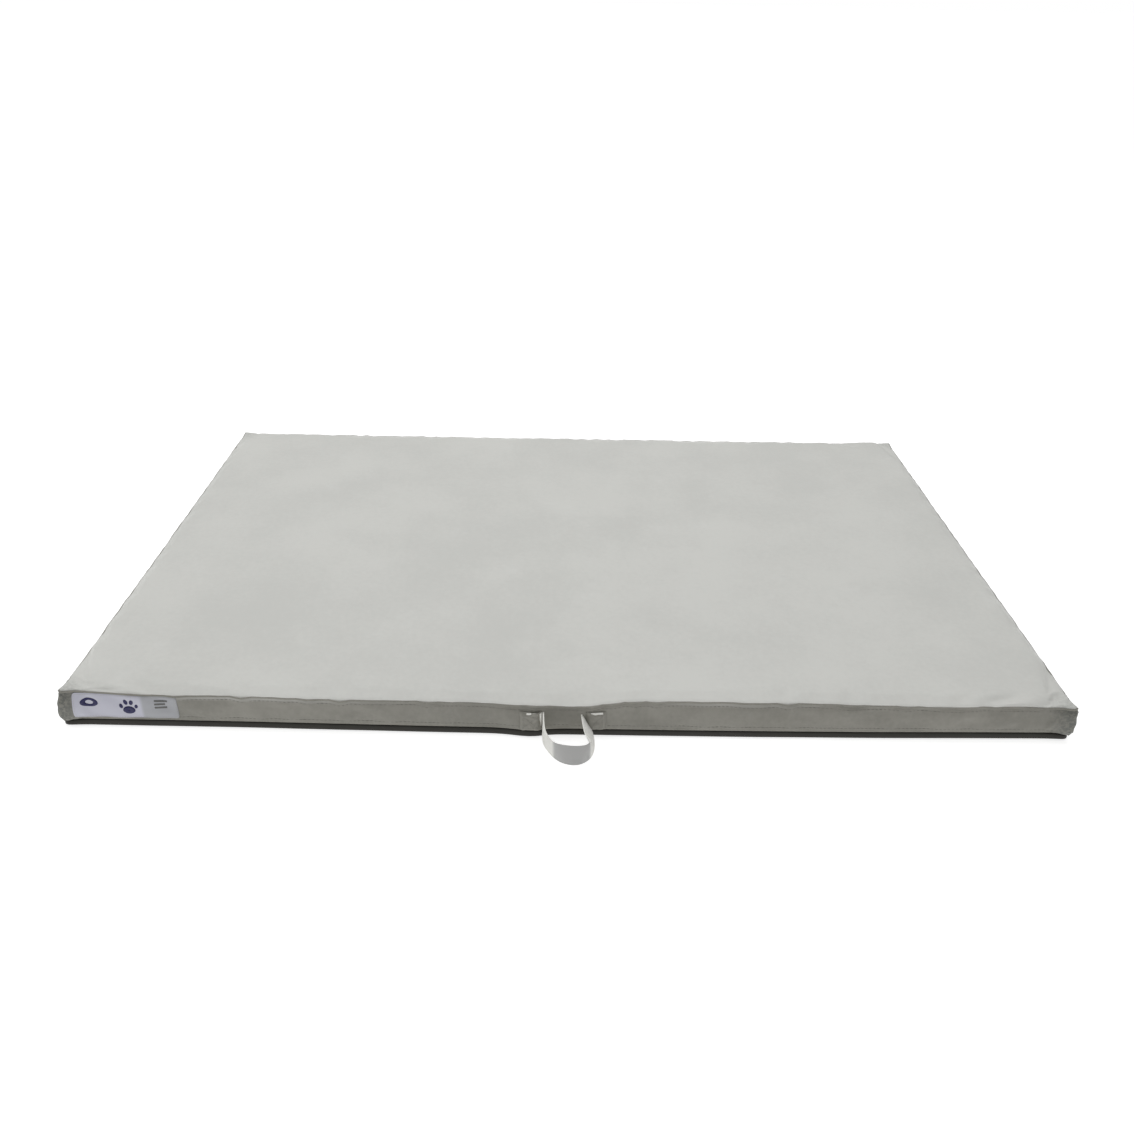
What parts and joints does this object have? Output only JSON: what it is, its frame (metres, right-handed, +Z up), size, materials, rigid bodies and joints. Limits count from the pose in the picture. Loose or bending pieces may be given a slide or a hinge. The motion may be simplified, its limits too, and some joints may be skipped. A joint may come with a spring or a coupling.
{
  "type": "animal weighing scale",
  "caption": "Low floor scale for animals: a padded, wipe-clean platform on load cells in a shallow tray, with a webbing pull loop at the front.",
  "frame": {"origin": "on the floor under the middle of the platform, in the lower face of the middle foot", "axes": "+X right along the long side, +Y to the back, away from the pull loop, +Z up"},
  "size_m": [1.2, 0.8597, 0.05],
  "materials": {
    "cover_cloth": "coated cloth, satin",
    "cover_side_cloth": "coated cloth, satin",
    "label_film": "printed film",
    "webbing": "woven strap",
    "foam": "open-cell foam",
    "honeycomb": "paper honeycomb",
    "aluminium": "mill finish",
    "tray_metal": "black anodised",
    "steel": "zinc plated",
    "black_plastic": "moulded, fine grain",
    "grey_plastic": "moulded, fine grain",
    "rubber": "matt",
    "cable_sheath": "satin",
    "circuit": "lacquered board",
    "battery_can": "printed can",
    "hook_tape": "hook tape"
  },
  "bodies": {
    "base": {"base_edge_trim": "black_plastic", "base_tray": "tray_metal", "batteries": "battery_can", "battery_case": "black_plastic", "battery_contacts": "steel", "board_parts": "black_plastic", "cable_clips": "grey_plastic", "cell_cable_front_left": "cable_sheath", "cell_cable_front_right": "cable_sheath", "cell_cable_rear_left": "cable_sheath", "cell_cable_rear_right": "cable_sheath", "cell_plates": "steel", "cell_screws": "steel", "circuit_board": "circuit", "door_rails": "black_plastic", "electronics_box": "grey_plastic", "electronics_lid": "grey_plastic", "foot_centre": "rubber", "foot_front_left": "rubber", "foot_front_right": "rubber", "foot_rear_left": "rubber", "foot_rear_right": "rubber", "gauge_seals": "rubber", "lid_screws": "steel", "load_bushes": "rubber", "load_cell_front_left": "aluminium", "load_cell_front_right": "aluminium", "load_cell_rear_left": "aluminium", "load_cell_rear_right": "aluminium", "overload_stop_nuts": "steel", "overload_stops": "steel"},
    "deck": {"bracket_rivets": "aluminium", "corner_brackets": "aluminium", "cover_front": "cover_side_cloth", "cover_hem": "cover_side_cloth", "cover_left": "cover_side_cloth", "cover_rear": "cover_side_cloth", "cover_right": "cover_side_cloth", "cover_top": "cover_cloth", "deck_bolts": "steel", "deck_bottom_skin": "aluminium", "deck_core": "honeycomb", "deck_frame_front": "aluminium", "deck_frame_left": "aluminium", "deck_frame_rear": "aluminium", "deck_frame_right": "aluminium", "deck_top_skin": "aluminium", "foam_border": "foam", "foam_pad": "foam", "handle_bar": "steel", "handle_patches": "cover_side_cloth", "handle_screws": "steel", "hook_tapes": "hook_tape", "label": "label_film", "strap_ends": "webbing"},
    "handle": {"handle_strap": "webbing"},
    "door": {"battery_door": "black_plastic"}
  },
  "joints": [
    {"name": "deck_settle", "type": "slide", "parent": "base", "child": "deck", "axis": [0, 0, 1], "range_m": [-0.0006, 0], "stiffness_N_per_m": 1200000, "springref_m": 0.00035},
    {"name": "handle_lift", "type": "hinge", "parent": "deck", "child": "handle", "pos_m": [-0.006, -0.4018, 0.032], "axis": [-1, 0, 0], "range_deg": [0, 90]},
    {"name": "battery_door_slide", "type": "slide", "parent": "base", "child": "door", "axis": [0, 1, 0], "range_m": [0, 0.056]}
  ]
}
